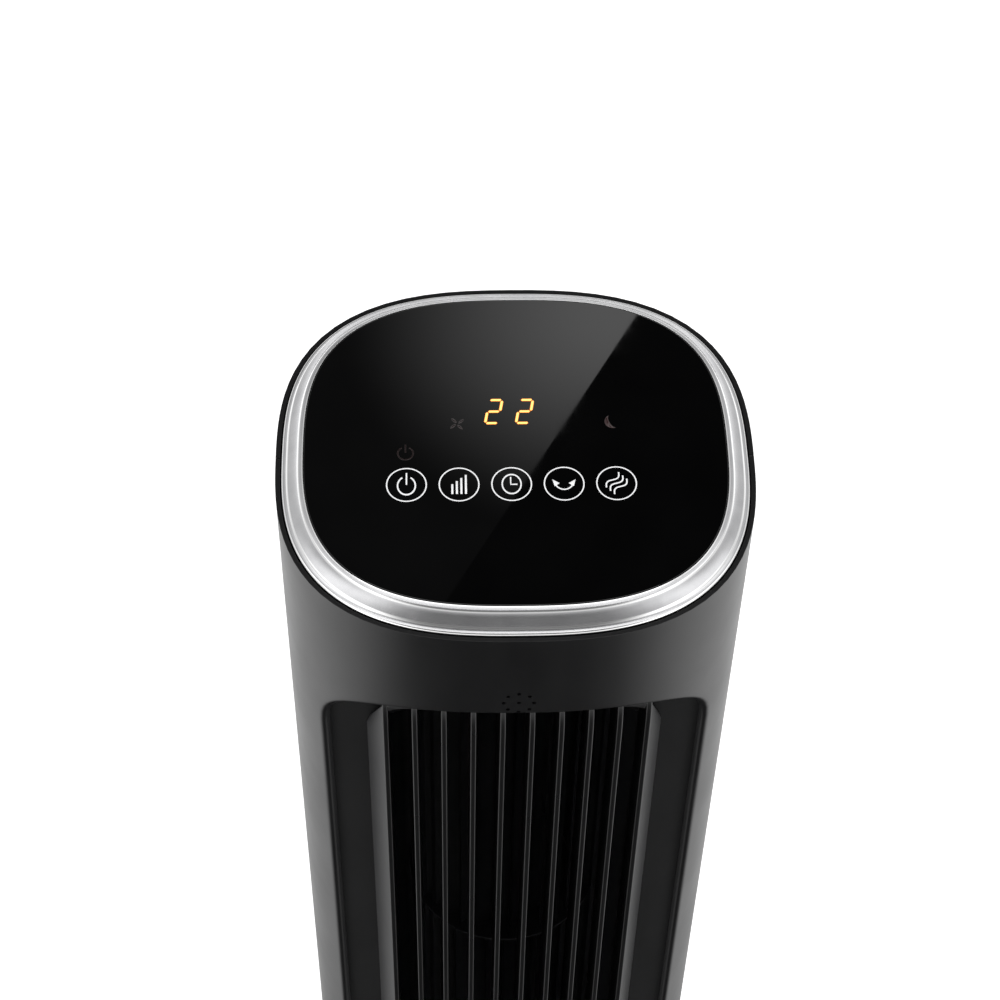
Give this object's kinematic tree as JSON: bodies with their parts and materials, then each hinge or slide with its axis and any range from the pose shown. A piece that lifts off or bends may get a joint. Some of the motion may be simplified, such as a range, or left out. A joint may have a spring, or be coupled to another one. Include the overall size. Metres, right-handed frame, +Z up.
{
  "type": "tower fan",
  "caption": "Oval black tower fan on a round base, with a tilted gloss touch panel in a silver ring, upright louvres in a recess, a cross-flow wheel inside and a swivelling tower.",
  "frame": {"origin": "centre of the round base on the floor, under the feet", "axes": "+Z up the tower and along the swivel axis, -Y out of the louvred front, +X to the right of someone looking at the front"},
  "size_m": [0.3, 0.3, 0.9141],
  "materials": {
    "casing_satin": "satin moulded ABS, near black",
    "matte_trim": "finely textured moulded plastic",
    "frame_plastic": "moulded plastic inside the tower",
    "base_steel": "pressed steel ballast plate and post, dark paint",
    "bezel_silver": "satin silver plated plastic",
    "panel_gloss": "high gloss black clear-faced panel",
    "zinc_steel": "zinc plated steel",
    "winding_metal": "lacquered copper windings",
    "bearing_metal": "sintered bronze",
    "soft_rubber": "soft black rubber",
    "white_plastic": "natural white moulded plastic",
    "board_plastic": "lacquered circuit board"
  },
  "bodies": {
    "base": {"base_cover": "casing_satin", "base_plate": "base_steel", "cord_gland": "soft_rubber", "foot_1": "soft_rubber", "foot_2": "soft_rubber", "foot_3": "soft_rubber", "foot_4": "soft_rubber", "foot_5": "soft_rubber", "pivot_post": "base_steel", "post_screw_1": "zinc_steel", "post_screw_2": "zinc_steel", "post_screw_3": "zinc_steel", "sector_gear": "white_plastic", "swivel_nut": "zinc_steel"},
    "tower": {"bearing_bulkhead": "frame_plastic", "bearing_bush": "bearing_metal", "bearing_rubber": "soft_rubber", "bezel": "bezel_silver", "casing_screw_1": "zinc_steel", "casing_screw_2": "zinc_steel", "casing_screw_3": "zinc_steel", "casing_screw_4": "zinc_steel", "channel_inlay": "matte_trim", "control_tray": "matte_trim", "duct_scroll": "frame_plastic", "duct_tongue": "frame_plastic", "front_casing": "casing_satin", "glass_panel": "panel_gloss", "grip_cup": "matte_trim", "intake_grille": "casing_satin", "led_module": "white_plastic", "motor_bulkhead": "frame_plastic", "motor_housing": "zinc_steel", "motor_stator": "winding_metal", "outlet_grille": "casing_satin", "power_board": "board_plastic", "rear_casing": "casing_satin", "rear_head": "casing_satin", "remote_receiver": "matte_trim", "run_capacitor": "white_plastic", "sounder": "soft_rubber", "swing_motor": "zinc_steel", "touch_board": "board_plastic", "touch_strip": "frame_plastic", "tray_screw_1": "zinc_steel", "tray_screw_2": "zinc_steel", "tray_screw_3": "zinc_steel", "tray_screw_4": "zinc_steel", "turntable": "matte_trim"},
    "wheel": {"fan_wheel": "frame_plastic", "motor_rotor": "zinc_steel", "top_spindle": "zinc_steel"},
    "pinion": {"swing_pinion": "white_plastic", "swing_shaft": "zinc_steel"}
  },
  "joints": [
    {"name": "oscillate", "type": "hinge", "parent": "base", "child": "tower", "pos_m": [0, 0, 0.054], "axis": [0, 0, 1], "range_deg": [-40, 40]},
    {"name": "wheel_spin", "type": "hinge", "parent": "tower", "child": "wheel", "pos_m": [0, 0.008, 0.186], "axis": [0, 0, 1], "continuous": true},
    {"name": "pinion_turn", "type": "hinge", "parent": "tower", "child": "pinion", "pos_m": [0, 0.04, 0.062], "axis": [0, 0, 1], "range_deg": [-121, 121]}
  ],
  "couplings": [
    {"joint": "pinion_turn", "follows": "oscillate", "ratio": 3}
  ]
}
